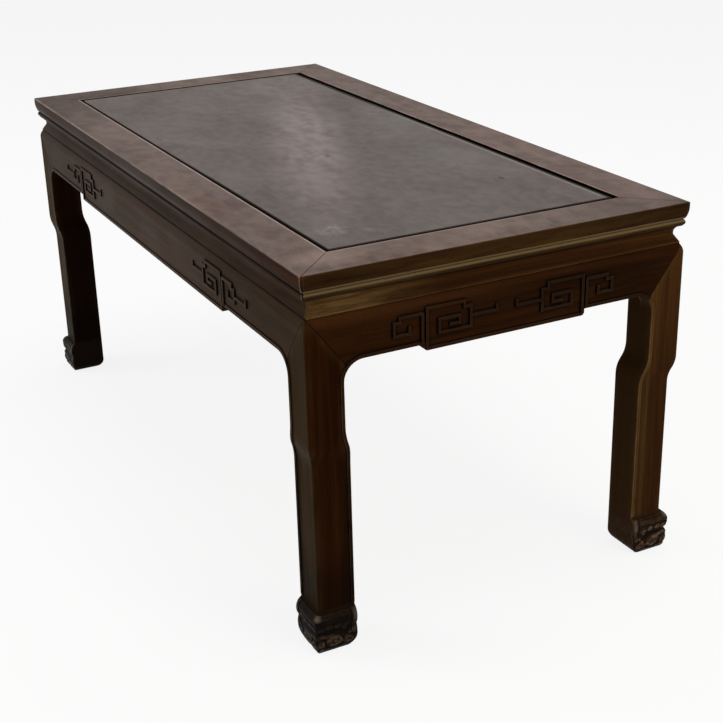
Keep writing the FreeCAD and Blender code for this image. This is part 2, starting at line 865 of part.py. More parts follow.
def cut_away(name, base, tool):
    result = doc.addObject("Part::Cut", name)
    result.Base = base
    result.Tool = tool
    return result


def with_diagonal_twin(shape):
    """A feature of one outer face of the leg, and the same on the other."""
    return [shape, mirrored(f"{shape.Name}_twin", shape, DIAGONAL)]


def bend_radius(height, shift):
    """The radius of two equal arcs that step a line sideways over a height."""
    return (height * height / shift + shift) / 4


def stepped(x_high, top_drop, bottom_drop, shift, downwards):
    """The two arcs of the knee, for a line at x_high over it."""
    high = from_top(top_drop)
    low = from_top(bottom_drop)
    middle = (high + low) / 2
    radius = bend_radius(bottom_drop - top_drop, shift)
    between = x_high + shift / 2
    if downwards:
        return [(x_high, high), (between, middle, radius, LEFT),
                (x_high + shift, low, radius, RIGHT)]
    return [(x_high + shift, low), (between, middle, radius, LEFT),
            (x_high, high, radius, RIGHT)]


def outer_knee(x_high, downwards):
    return stepped(x_high, s.knee_top_drop, s.knee_bottom_drop, s.knee_outer_shift, downwards)


def inner_knee(x_high, downwards):
    return stepped(x_high, s.knee_inner_top_drop, s.knee_inner_bottom_drop,
                   s.knee_inner_shift, downwards)


def foot_outside():
    """The flare, the roll, the notch and the block of the foot, from the top down."""
    flare_inset = s.face_inset + s.knee_outer_shift
    flare_radius = bulge_radius(
        flare_inset - s.foot_neck_inset, s.foot_neck_fall, s.foot_neck_bulge)
    roll_radius = bulge_radius(as_size(0), s.foot_roll_height, s.foot_roll_bulge)
    block_radius = bulge_radius(
        s.foot_sole_inset - s.foot_notch_inset, s.foot_notch_height, s.foot_block_bulge)
    return [
        (flare_inset, s.foot_height),
        (s.foot_neck_inset, s.foot_neck_height, flare_radius, RIGHT),
        (s.foot_neck_inset, s.foot_roll_foot, roll_radius, LEFT),
        (s.foot_notch_inset, s.foot_notch_height),
        (s.foot_sole_inset, as_size(0), block_radius, LEFT),
    ]


def foot_inside():
    """The plain inner side of the foot, rounded up from the sole into the shank."""
    inner = s.leg_inner_inset + s.knee_inner_shift
    round_radius = bulge_radius(
        s.foot_sole_inner_set_back, s.foot_inner_round, s.foot_inner_bulge)
    return [
        (inner - s.foot_sole_inner_set_back, as_size(0)),
        (inner, s.foot_inner_round, round_radius, LEFT),
    ]


def leg_outline():
    """One side of the leg in elevation: face, knee and foot outside, plain inside."""
    head = from_top(s.rail_thickness)
    top = from_top(s.apron_top_drop + s.shoulder_quirk)
    outside = [
        (s.shoulder_inset, head),
        (s.shoulder_inset, top),
        (s.face_inset, from_top(s.shoulder_drop), shoulder_radius(), LEFT),
    ] + outer_knee(s.face_inset, downwards=True) + foot_outside()
    inside = foot_inside() + inner_knee(s.leg_inner_inset, downwards=False)
    return outside + inside + [(s.leg_inner_inset, head)]


def leg_bead_strip():
    """The raised bead on the inner edge of a face, from the corner curve to the foot."""
    out = s.cut_overrun
    bead = s.edge_bead_width
    arc_start = s.leg_inner_inset + s.corner_radius
    outer_edge = [
        (arc_start, from_top(s.apron_edge_drop)),
        (s.leg_inner_inset, from_top(s.apron_edge_drop + s.corner_radius),
         s.corner_radius, LEFT),
    ] + inner_knee(s.leg_inner_inset, downwards=True)
    inner_edge = inner_knee(s.leg_inner_inset - bead, downwards=False) + [
        (s.leg_inner_inset - bead, from_top(s.apron_edge_drop + s.corner_radius)),
        (arc_start, from_top(s.apron_edge_drop) + bead, s.corner_radius + bead, RIGHT),
    ]
    foot = s.foot_height - out
    edge = s.leg_inner_inset + s.knee_inner_shift
    return outer_edge + [(edge, foot), (edge - bead, foot)] + inner_edge


def leg_face_skin():
    """A thin skin over the face of the leg, seen from the side, as deep as the bead is proud."""
    proud = s.edge_bead_proud
    high = from_top(s.shoulder_drop)
    outer = outer_knee(s.face_inset - proud, downwards=True)
    inner = outer_knee(s.face_inset + proud, downwards=False)
    foot = s.foot_height
    lower = s.face_inset + s.knee_outer_shift
    return ([(s.face_inset + proud, high), (s.face_inset - proud, high)] + outer
            + [(lower - proud, foot), (lower + proud, foot)] + inner)


def corner_ear():
    """The piece of the corner curve that belongs to the leg."""
    inner = s.leg_inner_inset
    high = from_top(s.apron_edge_drop)
    low = from_top(s.apron_edge_drop + s.corner_radius)
    return [
        (inner - s.cut_overrun, low),
        (inner - s.cut_overrun, high),
        (inner + s.corner_radius, high),
        (inner, low, s.corner_radius, LEFT),
    ]


def with_round_arris(name, blank):
    """Round the outer edge of the leg, from its head to its foot, where the two faces meet."""
    doc.recompute()
    arris = [
        number for number, edge in enumerate(blank.Shape.Edges, start=1)
        if all(abs(point.Point.x - point.Point.y) < HEIGHT_TOLERANCE
               and point.Point.x < s.core_inset.value
               and point.Point.z > s.foot_height.value - HEIGHT_TOLERANCE
               for point in edge.Vertexes)
    ]
    result = doc.addObject("Part::Fillet", name)
    result.Base = blank
    radius = s.leg_arris_radius.value
    result.Edges = [(number, radius, radius) for number in arris]
    return result


def first_leg(label):
    out = s.cut_overrun
    far = s.leg_inner_inset + s.knee_inner_shift + out
    blank_side = extrusion("leg_side", loose_sketch("leg_side_sketch", [leg_outline()]),
                           ACROSS["Y"], as_size(0), far)
    blank = with_round_arris(
        "leg_rounded", joined("Common", "leg_blank", with_diagonal_twin(blank_side)))
    ear = extrusion("leg_ear", loose_sketch("leg_ear_sketch", [corner_ear()]),
                    ACROSS["Y"], s.face_inset, s.core_inset)
    strip = extrusion("leg_strip", loose_sketch("leg_strip_sketch", [leg_bead_strip()]),
                      ACROSS["Y"], -out, s.core_inset)
    skin_sketch = loose_sketch("leg_skin_sketch", [leg_face_skin()])
    skin_side = extrusion("leg_skin", skin_sketch, ACROSS["Y"], as_size(0), far + s.corner_radius)
    skin = mirrored("leg_skin_turned", skin_side, DIAGONAL)
    bead = joined("Common", "leg_bead", [strip, skin])
    solid = joined("Fuse", "leg_solid", [blank] + with_diagonal_twin(ear)
                   + with_diagonal_twin(bead))
    reach = s.leg_inner_inset + s.corner_radius + out
    over_mitre = [
        (-out, from_top(mitre_drop(-out) + s.mitre_gap)),
        (reach, from_top(mitre_drop(reach) + s.mitre_gap)),
        (reach, s.table_height),
        (-out, s.table_height),
    ]
    mitre = extrusion("leg_mitre", loose_sketch("leg_mitre_sketch", [over_mitre]),
                      ACROSS["Y"], -out, s.core_inset)
    mitres = joined("Fuse", "leg_mitres", with_diagonal_twin(mitre))
    shaped = cut_away("leg_shaped", solid, mitres)
    key_sketch = loose_sketch("leg_key_sketch", [key_plan(as_size(0), half(s.core_inset))],
                              upright=False)
    key = extrusion("leg_key", key_sketch, UPRIGHT,
                    from_top(s.apron_edge_drop), from_top(s.key_top_drop))
    tenon = doc.addObject("Part::Box", "leg_tenon")
    near = s.leg_inner_inset - s.leg_tenon_margin - s.leg_tenon_width
    bind(tenon, Length=s.leg_tenon_width, Width=s.leg_tenon_thickness,
         Height=s.leg_tenon_height + out,
         Placement__Base__x=near,
         Placement__Base__y=s.core_inset + s.leg_tenon_margin,
         Placement__Base__z=from_top(s.rail_thickness) - out)
    leg = joined("Fuse", label, [shaped] + with_diagonal_twin(key) + with_diagonal_twin(tenon))
    leg.Label = label
    bind(leg, Placement__Base__x=-half(s.table_length), Placement__Base__y=-half(s.table_width))
    return leg


def all_pieces():
    """Make every piece of the table and give them back in order."""
    long_span, long_reach = s.table_length, half(s.table_width)
    short_span, short_reach = s.table_width, half(s.table_length)
    rail_front = long_rail("top_rail_front")
    rail_right = short_rail("top_rail_right")
    waist_front = waist("waist_front", long_span, long_reach)
    waist_right = waist("waist_right", short_span, short_reach)
    place_on_short_side(waist_right)
    apron_front = apron("apron_front", long_span, long_reach, s.long_fret_place, True)
    apron_right = apron("apron_right", short_span, short_reach, s.short_fret_place, False)
    place_on_short_side(apron_right)
    leg = first_leg("leg_front_left")
    leg_right = mirrored("leg_front_right", leg, ACROSS["X"])
    return [
        rail_front, mirrored("top_rail_back", rail_front, ACROSS["Y"]),
        rail_right, mirrored("top_rail_left", rail_right, ACROSS["X"]),
        top_panel("top_panel"),
    ] + [
        batten(f"batten_{name}", place)
        for name, place in zip(("left", "middle", "right"), batten_places())
    ] + [
        mitre_pins("mitre_pins"),
        waist_front, mirrored("waist_back", waist_front, ACROSS["Y"]),
        waist_right, mirrored("waist_left", waist_right, ACROSS["X"]),
        apron_front, mirrored("apron_back", apron_front, ACROSS["Y"]),
        apron_right, mirrored("apron_left", apron_right, ACROSS["X"]),
        leg, leg_right,
        mirrored("leg_back_left", leg, ACROSS["Y"]),
        mirrored("leg_back_right", leg_right, ACROSS["Y"]),
    ]


def check_document(pieces):
    """Stop on a failed object, an empty cut or a piece that isn't sound."""
    for item in doc.Objects:
        if "Invalid" in item.State or "Error" in item.State:
            raise RuntimeError(f"{item.Name} failed: {item.State}")
        if item.TypeId == "PartDesign::Pocket":
            if not item.Shape.Volume < item.BaseFeature.Shape.Volume:
                raise RuntimeError(f"{item.Name} cuts nothing")
    for piece in pieces:
        if piece.Shape.isNull() or not piece.Shape.isValid():
            raise RuntimeError(f"{piece.Label} has no sound shape")


def main():
    pieces = all_pieces()
    doc.recompute()
    check_document(pieces)
    os.makedirs("parts", exist_ok=True)
    for piece in pieces:
        piece.Shape.exportStep(f"parts/{piece.Label}.step")
        box = piece.Shape.BoundBox
        print(f"{piece.Label}: {len(piece.Shape.Solids)} solids, volume {piece.Shape.Volume:.0f}, "
              f"z {box.ZMin:.1f} to {box.ZMax:.1f}")


main()
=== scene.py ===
import math

import bmesh
import bpy
from mathutils import Matrix, Vector, noise
from mathutils.kdtree import KDTree


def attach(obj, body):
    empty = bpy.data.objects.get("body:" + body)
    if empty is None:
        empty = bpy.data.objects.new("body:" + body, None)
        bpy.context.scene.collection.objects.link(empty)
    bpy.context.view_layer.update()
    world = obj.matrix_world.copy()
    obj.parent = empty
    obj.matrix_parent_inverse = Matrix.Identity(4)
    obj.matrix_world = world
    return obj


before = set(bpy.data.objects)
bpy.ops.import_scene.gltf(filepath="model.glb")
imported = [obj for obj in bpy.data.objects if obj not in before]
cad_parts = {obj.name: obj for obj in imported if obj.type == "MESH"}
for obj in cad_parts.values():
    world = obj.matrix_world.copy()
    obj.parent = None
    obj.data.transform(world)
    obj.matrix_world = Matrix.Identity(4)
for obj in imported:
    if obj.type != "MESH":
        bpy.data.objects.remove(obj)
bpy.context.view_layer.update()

# A low waisted table of dark polished hardwood. Metres, X along its length, Y across it, Z up.
# The long side that faces the camera is at -Y, and the short side at +X. Sizes of the table and
# of its finishes are named in millimetres.

MM = 0.001
TABLE_LENGTH = 920
TABLE_WIDTH = 460
TABLE_HEIGHT = 422

LONG_RAILS = ("top_rail_front", "top_rail_back")
SHORT_RAILS = ("top_rail_right", "top_rail_left")
DARK_LEGS = ("leg_front_left", "leg_front_right", "leg_back_left")
BATTENS = ("batten_left", "batten_middle", "batten_right")


# Camera, at the angle and distance that put the table's corners where the picture has them

PHOTO_SIZE = 723
FOCAL_PIXELS = 1396.68
SENSOR_WIDTH = 36
CAMERA_AZIMUTH = 63.093
CAMERA_ELEVATION = 22.943
CAMERA_ROLL = 1.507
CAMERA_PLACE = Vector((1578.9, -736.31, 854.31)) * MM


def make_camera():
    azimuth = math.radians(CAMERA_AZIMUTH)
    elevation = math.radians(CAMERA_ELEVATION)
    back = Vector((math.sin(azimuth) * math.cos(elevation),
                   -math.cos(azimuth) * math.cos(elevation), math.sin(elevation)))
    right = Vector((0, 0, 1)).cross(back).normalized()
    up = back.cross(right)
    upright = Matrix((right, up, back)).transposed().to_4x4()
    data = bpy.data.cameras.new("camera")
    data.sensor_width = SENSOR_WIDTH
    data.lens = FOCAL_PIXELS / PHOTO_SIZE * SENSOR_WIDTH
    camera = bpy.data.objects.new("camera", data)
    roll = Matrix.Rotation(-math.radians(CAMERA_ROLL), 4, "Z")
    camera.matrix_world = Matrix.Translation(CAMERA_PLACE) @ upright @ roll
    bpy.context.scene.collection.objects.link(camera)
    bpy.context.scene.camera = camera


# Node materials

# Mix node sockets that hold colours
COLOR_A, COLOR_B, COLOR_OUT = 6, 7, 2


def linear(code):
    """An sRGB hex colour as linear light."""
    parts = [int(code[start:start + 2], 16) / 255 for start in (1, 3, 5)]
    return [part / 12.92 if part <= 0.04045 else ((part + 0.055) / 1.055) ** 2.4
            for part in parts] + [1.0]


def add(tree, kind, inputs=None, **settings):
    """Add a node, with its settings, and fill or link its inputs."""
    node = tree.nodes.new(kind)
    for name, value in settings.items():
        setattr(node, name, value)
    for key, value in (inputs or {}).items():
        if isinstance(value, bpy.types.NodeSocket):
            tree.links.new(value, node.inputs[key])
        else:
            node.inputs[key].default_value = value
    return node


def new_material(name):
    material = bpy.data.materials.new(name)
    material.use_nodes = True
    material.node_tree.nodes.clear()
    return material


def cloud(tree, coords, sizes, detail=1.0, distortion=0.0):
    """Soft lumps of these sizes, as a value about 0.5."""
    scaled = add(tree, "ShaderNodeMapping",
                 {"Vector": coords, "Scale": [1 / size for size in sizes]})
    return add(tree, "ShaderNodeTexNoise",
               {"Vector": scaled.outputs[0], "Scale": 1.0, "Detail": detail,
                "Distortion": distortion}).outputs["Fac"]


# The wood's patterns, along and across the grain
TURN = {"x": (0, 0, 0), "y": (0, 0, -math.pi / 2), "z": (0, math.pi / 2, 0)}
BAND = (260, 13, 13)
FIBRE = (45, 1.6, 1.6)
# Pores are drawn three times as coarse as they are, to show
PORE = (9, 0.7, 0.7)
WAX_CLOUD = (95, 55, 55)
WORN_PATCH = (55, 30, 30)
PLANE_WAVE = (70, 22, 22)


class Surface:
    """Where a point of a piece lies, in millimetres, which way it faces, and the wood there."""

    def __init__(self, tree, grain, seam):
        self.tree = tree
        metres = add(tree, "ShaderNodeTexCoord").outputs["Object"]
        self.place = add(tree, "ShaderNodeMapping",
                         {"Vector": metres, "Scale": [1 / MM] * 3}).outputs[0]
        self.x, self.y, _ = add(tree, "ShaderNodeSeparateXYZ", {0: self.place}).outputs
        normal = add(tree, "ShaderNodeNewGeometry").outputs["Normal"]
        _, back, self.up = add(tree, "ShaderNodeSeparateXYZ", {0: normal}).outputs
        # 1 on faces square to the table's width
        self.broadside = add(tree, "ShaderNodeMath", {0: back}, operation="ABSOLUTE").outputs[0]
        # 1 on faces turned away from the table's middle, -1 on faces turned to it
        quarter = add(tree, "ShaderNodeVectorMath", {0: self.place}, operation="SIGN").outputs[0]
        outward = add(tree, "ShaderNodeVectorMath", {0: normal, 1: quarter},
                      operation="MULTIPLY").outputs[0]
        self.endward, self.sideward, _ = add(tree, "ShaderNodeSeparateXYZ", {0: outward}).outputs
        # How far inside the ends and the long sides, and how far below the top
        folded = add(tree, "ShaderNodeVectorMath", {0: self.place}, operation="ABSOLUTE").outputs[0]
        inside = add(tree, "ShaderNodeVectorMath",
                     {0: (TABLE_LENGTH / 2, TABLE_WIDTH / 2, TABLE_HEIGHT), 1: folded},
                     operation="SUBTRACT").outputs[0]
        self.from_end, self.from_side, self.drop = add(
            tree, "ShaderNodeSeparateXYZ", {0: inside}).outputs
        # How far inside the nearer and the farther of the two
        both = {0: self.from_end, 1: self.from_side}
        self.inset = add(tree, "ShaderNodeMath", both, operation="MINIMUM").outputs[0]
        self.from_corner = add(tree, "ShaderNodeMath", both, operation="MAXIMUM").outputs[0]
        self.seam = seam(self) if seam else None
        along = add(tree, "ShaderNodeMapping",
                    {"Vector": self.place, "Rotation": TURN[grain]}).outputs[0]
        self.band = cloud(tree, along, BAND, detail=3.0, distortion=0.7)
        self.fibre = cloud(tree, along, FIBRE, detail=2.0, distortion=0.2)
        self.pore = cloud(tree, along, PORE)
        self.patch = cloud(tree, along, WORN_PATCH, detail=4.0, distortion=0.8)
        self.wax = cloud(tree, along, WAX_CLOUD, detail=4.0, distortion=0.4)
        self.swell = cloud(tree, along, PLANE_WAVE)


# Seams: each gives the distance from a joint that two pieces share

MITRE_TOP_DROP = 46.5
MITRE_TOP_INSET = 5.6
MITRE_SLOPE = 49.7 / 36.9


def corner_mitre(at):
    """The mitres of the top frame."""
    across = add(at.tree, "ShaderNodeMath", {0: at.from_corner, 1: at.inset},
                 operation="SUBTRACT").outputs[0]
    return add(at.tree, "ShaderNodeMath", {0: across, 1: math.sqrt(0.5)},
               operation="MULTIPLY").outputs[0]


def shoulder_mitre(at):
    """The mitres between the aprons and the legs."""
    line = add(at.tree, "ShaderNodeMath",
               {0: at.from_corner, 1: MITRE_SLOPE,
                2: MITRE_TOP_DROP - MITRE_TOP_INSET * MITRE_SLOPE},
               operation="MULTIPLY_ADD").outputs[0]
    below = add(at.tree, "ShaderNodeMath", {0: at.drop, 1: line}, operation="SUBTRACT").outputs[0]
    away = add(at.tree, "ShaderNodeMath", {0: below}, operation="ABSOLUTE").outputs[0]
    return add(at.tree, "ShaderNodeMath", {0: away, 1: math.hypot(1, MITRE_SLOPE)},
               operation="DIVIDE").outputs[0]


# Masks: each is a function of the surface, mostly from 0 to 1

CARVED_HEIGHT = "carved_height"
# Noise lies mostly between these
NOISE_LOW = 0.32
NOISE_HIGH = 0.68
BLOTCH_BEND = 0.4
SPOT_FULL = 0.9
SOFT_EDGE = 0.4
OPEN_SAMPLES = 8


def fading(measure, none, full, least=0.0, most=1.0):
    """From the least share to the most, along a measure.

    The measure is named, if the surface has it, or is a function that makes it there."""
    def mask(at):
        value = getattr(at, measure) if isinstance(measure, str) else measure(at)
        return add(at.tree, "ShaderNodeMapRange",
                   {"Value": value, "From Min": none, "From Max": full,
                    "To Min": least, "To Max": most}, interpolation_type="SMOOTHSTEP").outputs[0]
    return mask


def lessened(at, share, masks):
    """A share, lessened by every mask."""
    for mask in masks:
        share = add(at.tree, "ShaderNodeMath", {0: share, 1: mask(at)},
                    operation="MULTIPLY").outputs[0]
    return share


def greater(one, other):
    """The greater of two masks."""
    return lambda at: add(at.tree, "ShaderNodeMath", {0: one(at), 1: other(at)},
                          operation="MAXIMUM").outputs[0]


def stripe(measure, low, high, soft=SOFT_EDGE):
    """A band between two values of a measure."""
    rise = fading(measure, low - soft, low + soft)
    fall = fading(measure, high + soft, high - soft)
    return lambda at: lessened(at, rise(at), [fall])


def blotchy(sizes, least, most=1.0, detail=3.0):
    """Lumps of these sizes, from the least share to the most."""
    return fading(lambda at: cloud(at.tree, at.place, sizes, detail, BLOTCH_BEND),
                  NOISE_LOW, NOISE_HIGH, least, most)


def spot(centre, half_sizes, degrees=0.0):
    """A soft oval: 1 in its middle, 0 at its rim."""
    def nearness(at):
        local = add(at.tree, "ShaderNodeMapping",
                    {"Vector": at.place, "Location": centre,
                     "Rotation": (0, 0, math.radians(degrees)), "Scale": half_sizes},
                    vector_type="TEXTURE")
        return add(at.tree, "ShaderNodeTexGradient", {"Vector": local.outputs[0]},
                   gradient_type="SPHERICAL").outputs["Fac"]
    return fading(nearness, 0.0, SPOT_FULL)


def carved(low, high):
    """By how high the carving stands."""
    return fading(lambda at: add(at.tree, "ShaderNodeAttribute",
                                 attribute_name=CARVED_HEIGHT).outputs["Fac"], low, high)


def closed_in(width, free, closed, most=1.0, inside=False):
    """In corners within a width, or on arrises where it looks from inside the wood."""
    return fading(lambda at: add(at.tree, "ShaderNodeAmbientOcclusion", {"Distance": width * MM},
                                 inside=inside, only_local=inside,
                                 samples=OPEN_SAMPLES).outputs["AO"], free, closed, 0.0, most)


def coat(code, share, *masks):
    """A colour laid on by a share, where all the masks let it."""
    return lambda at, color: add(
        at.tree, "ShaderNodeMix",
        {0: lessened(at, share, masks), COLOR_A: color, COLOR_B: linear(code)},
        data_type="RGBA").outputs[COLOR_OUT]


# Hardwood, planed, carved, stained nearly black-brown and waxed. The eye sees long bands of
# lighter and darker brown along the grain, fine dark pores, a satin shine, a pale painted sheen
# on the top and the long sides, bare lighter wood and painted highlights on the arrises, and dark
# wax and painted shade in corners.

# Black-brown: dark wax in the pores, and painted shade in corners, grooves, creases and under
# things
DARK_WAX_AND_SHADE = "#080503"
SEAM_WIDTH = 0.7
SEAM_MARGIN = 3.5
SEAM_SHARE = 0.95
# How far the soft painted highlight beside the arrises spreads
SOFT_HIGHLIGHT_WIDTH = 12
PATCH_LEAST = 0.25
SATIN_LESS = 0.06
SATIN_MORE = 0.08
HARDWOOD_IOR = 1.5
# How deep the plane's waves, the fibres and the pores are, and how strongly they show
WAVE_DEPTH = 0.35
FIBRE_DEPTH = 0.05
PORE_DEPTH = 0.06
WAVE_STRENGTH = 0.6
GRAIN_STRENGTH = 0.5

LOOK = {
    # Coats under the wear, lines over it, and the joint that the piece shares
    "coats": (), "lines": (), "seam": None,
    # Bare wood and painted highlights on the arrises: their colour, share and width, and a wider
    # soft painted highlight beside them
    "worn_and_lit": "#6a5238", "wear_and_highlight": 0.6, "arris": 2.2, "soft_highlight_color": "#4a3822", "soft_highlight": 0.0,
    # Dark wax and painted shade in corners, and painted shade on surfaces that look down
    "dirt_and_shade": 0.85, "corner": 6, "open_from": 0.95, "closed_to": 0.45, "under": 0.5,
    "fibre_share": 0.4, "pore_share": 0.6, "roughness": 0.42, "shine": 0.008,
}

PORES = fading("pore", 0.66, 0.74)
PATCHY = fading("patch", 0.38, 0.66, PATCH_LEAST)


def wood_coats(look, dark, light):
    """The wood's bands and fibres, and what lies on them, from the bottom up."""
    # Bare wood on the arrises, made lighter still as a painted highlight
    bare_and_lit_arrises = [closed_in(look["arris"], 0.9, 0.55, inside=True), PATCHY]
    # Dark wax and painted shade in corners, and the dark seam
    dark_corners_and_seams = closed_in(look["corner"], look["open_from"], look["closed_to"], look["dirt_and_shade"])
    if look["seam"]:
        bare_and_lit_arrises.append(fading("seam", SEAM_WIDTH, SEAM_MARGIN))
        dark_corners_and_seams = greater(dark_corners_and_seams, fading("seam", 0.0, SEAM_WIDTH, SEAM_SHARE, 0.0))
    coats = [coat(light, 1.0, fading("band", NOISE_LOW, NOISE_HIGH)),
             coat(dark, look["fibre_share"], fading("fibre", 0.35, 0.7)),
             *look["coats"],
             coat(DARK_WAX_AND_SHADE, look["pore_share"], PORES),
             # Painted shade on surfaces that look down
             coat(DARK_WAX_AND_SHADE, look["under"], fading("up", -0.2, -0.95))]
    # A soft painted highlight beside the arrises
    if look["soft_highlight"]:
        soft = closed_in(SOFT_HIGHLIGHT_WIDTH, 0.95, 0.5, inside=True)
        coats.append(coat(look["soft_highlight_color"], look["soft_highlight"], soft, PATCHY))
    return [*coats, coat(look["worn_and_lit"], look["wear_and_highlight"], *bare_and_lit_arrises), coat(DARK_WAX_AND_SHADE, 1.0, dark_corners_and_seams),
            *look["lines"]]


def hardwood(name, grain, dark, light, **changes):
    """One stained and waxed finish, with its grain along an axis."""
    look = {**LOOK, **changes}
    material = new_material(name)
    tree = material.node_tree
    at = Surface(tree, grain, look["seam"])
    color = linear(dark)
    for lay in wood_coats(look, dark, light):
        color = lay(at, color)
    satin = fading("wax", 0.3, 0.7, look["roughness"] - SATIN_LESS,
                   look["roughness"] + SATIN_MORE)
    waves = add(tree, "ShaderNodeBump",
                {"Height": at.swell, "Distance": WAVE_DEPTH * MM, "Strength": WAVE_STRENGTH})
    fibres = add(tree, "ShaderNodeBump",
                 {"Height": at.fibre, "Distance": FIBRE_DEPTH * MM, "Strength": GRAIN_STRENGTH,
                  "Normal": waves.outputs[0]})
    pitted = add(tree, "ShaderNodeBump",
                 {"Height": PORES(at), "Distance": PORE_DEPTH * MM, "Strength": GRAIN_STRENGTH,
                  "Normal": fibres.outputs[0]}, invert=True)
    shader = add(tree, "ShaderNodeBsdfPrincipled",
                 {"Base Color": color, "Roughness": satin(at), "IOR": HARDWOOD_IOR,
                  "Specular IOR Level": look["shine"], "Normal": pitted.outputs[0]})
    add(tree, "ShaderNodeOutputMaterial", {"Surface": shader.outputs[0]})
    return material


# Stains, waxes, and the colours of painted sheen, highlight and shade that several coats use

# Black of painted shade in the gaps, with some packed wax
GAP_SHADE_AND_WAX = "#0c0403"
DARK_PATCH = "#342b27"
PALE_PATCH = "#b8a298"
PALE_SCUFF = "#a0948f"
# Pale grey of a painted sheen on the long sides
SIDE_SHEEN = "#8a807c"
KNOT = "#2a1f19"
DARK_STREAK = "#1c0f08"
# Painted highlight on worn places of the feet
FOOT_WORN_HIGHLIGHT = "#8a7c6c"

# How far below the top the mouldings and joints lie, and where the gap round the board starts

QUIRK = (18.6, 20.8)
FAR_QUIRK = (20.4, 21.8)
BEAD = (26.0, 27.8)
FAR_BEAD = (26.0, 29.2)
APRON_JOINT = (44.9, 47.2)
FRET_DROP = (57, 60)
GAP_DROP = (0.3, 8)
GAP_INSET = (51.2, 52.4)
TOP = TABLE_HEIGHT

ON_TOP = (fading("drop", 1.6, 0.8), fading("up", 0.6, 0.95))
ENDS = fading("endward", 0.5, 0.9)
SIDES = fading("sideward", 0.5, 0.9)
INNER_ENDS = fading("endward", -0.4, -0.9)
INNER_SIDES = fading("sideward", -0.4, -0.9)
BROADSIDE = fading("broadside", 0.5, 0.9)
ROUND_TO_SIDE = fading("broadside", 0.2, 0.5)
# Faces square to the width, where the long sides' painted sheen lies, more of it away from the near
# end
FAR_SHEEN = (fading("x", 400, 0), BROADSIDE)

# Painted shade on the walls of the gap round the board, with some packed wax
GAP = coat(GAP_SHADE_AND_WAX, 0.97, stripe("drop", *GAP_DROP, 0.15), fading("inset", *GAP_INSET),
           fading("up", 0.85, 0.6))
# Painted shade in the quirk, under the bead, and in the crease and dark joint above the apron
QUIRK_SHADE = coat(DARK_WAX_AND_SHADE, 0.9, stripe("drop", *QUIRK), ROUND_TO_SIDE)
FAR_QUIRK_SHADE = coat(DARK_WAX_AND_SHADE, 0.8, stripe("drop", *FAR_QUIRK), fading("x", 330, 200),
                      ROUND_TO_SIDE)
UNDER_BEAD_SHADE = coat(DARK_WAX_AND_SHADE, 0.85, stripe("drop", *BEAD))
FAR_BEAD_SHADE = coat(DARK_WAX_AND_SHADE, 0.85, stripe("drop", *FAR_BEAD), fading("x", 250, 50))
APRON_JOINT_SHADE = coat(DARK_WAX_AND_SHADE, 0.9, stripe("drop", *APRON_JOINT, 0.3), ROUND_TO_SIDE)

# Coats of several pieces, and the longer lists of them

RAIL_COATS = (
    # A painted sheen on the top, cloudy and finely mottled
    coat("#90807a", 0.385, *ON_TOP, blotchy(WAX_CLOUD, 0.72, 1.2)),
    coat("#a8968e", 0.13, *ON_TOP, blotchy((24, 18, 20), 0.0, detail=5.0)),
    # A browner patch and a darker end on the front rail
    coat("#5a3d2a", 0.3, *ON_TOP, spot((205, -214, TOP), (85, 22, 60)),
         blotchy((30, 18, 18), 0.4)),
    coat(DARK_PATCH, 0.5, *ON_TOP, fading("x", -200, -420), fading("y", 0, -150)),
    coat(DARK_PATCH, 0.3, *ON_TOP, fading("x", -60, -260), fading("y", -206, -230)),
    # Lighter by the near corner and in the middle of the right rail, darker beyond it
    coat(PALE_PATCH, 0.24, *ON_TOP, spot((418, -178, TOP), (34, 60, 30))),
    coat(PALE_PATCH, 0.12, *ON_TOP, spot((420, -5, TOP), (36, 80, 30))),
    coat(DARK_PATCH, 0.35, *ON_TOP, spot((438, 145, TOP), (55, 60, 30))),
    # The inner arris, rubbed light, and a small reddish chip on the near corner
    coat("#b3a49a", 0.27, *ON_TOP, stripe("inset", 50.8, 52.8, 0.3), fading("y", 150, 0)),
    coat("#7a3a22", 0.5, spot((459, -228, 420), (12, 6, 5))),
)
PANEL_COATS = (
    # A pale painted sheen over the whole top, cloudy
    coat("#8b8481", 0.345, *ON_TOP, blotchy((130, 90, 60), 0.84, 1.08)),
    # A lighter streak from the near right to the far left, finely broken: a painted reflection,
    # partly worn wax
    coat("#a59796", 0.42, *ON_TOP, spot((10, -8, TOP), (480, 70, 90), -21.8),
         blotchy((22, 15, 9), 0.42, detail=5.0)),
    # A fine mottle all over, and more of it at the far left
    coat(PALE_SCUFF, 0.09, *ON_TOP, blotchy((17, 13, 9), 0.0, detail=5.0)),
    coat(PALE_SCUFF, 0.2, *ON_TOP, spot((-330, 120, TOP), (150, 90, 90)),
         blotchy((20, 15, 9), 0.2, detail=5.0)),
    # A greener haze behind the streak
    coat("#6c716b", 0.3, *ON_TOP, spot((40, 130, TOP), (260, 90, 90), -10),
         blotchy((90, 70, 40), 0.2)),
    # Scuffs by the near corner, a yellow spot and two small knots
    coat("#a59b93", 0.42, *ON_TOP, spot((344, -141, TOP), (30, 24, 30), -8),
         blotchy((9, 6, 5), 0.0, detail=5.0)),
    coat("#8f7b5c", 0.4, *ON_TOP, spot((366, -107, TOP), (14, 9, 20), 10),
         blotchy((7, 6, 5), 0.2)),
    coat(KNOT, 0.6, *ON_TOP, spot((75, -12, TOP), (8, 4, 20))),
    coat(KNOT, 0.6, *ON_TOP, spot((272, 112, TOP), (8, 4, 20))),
)
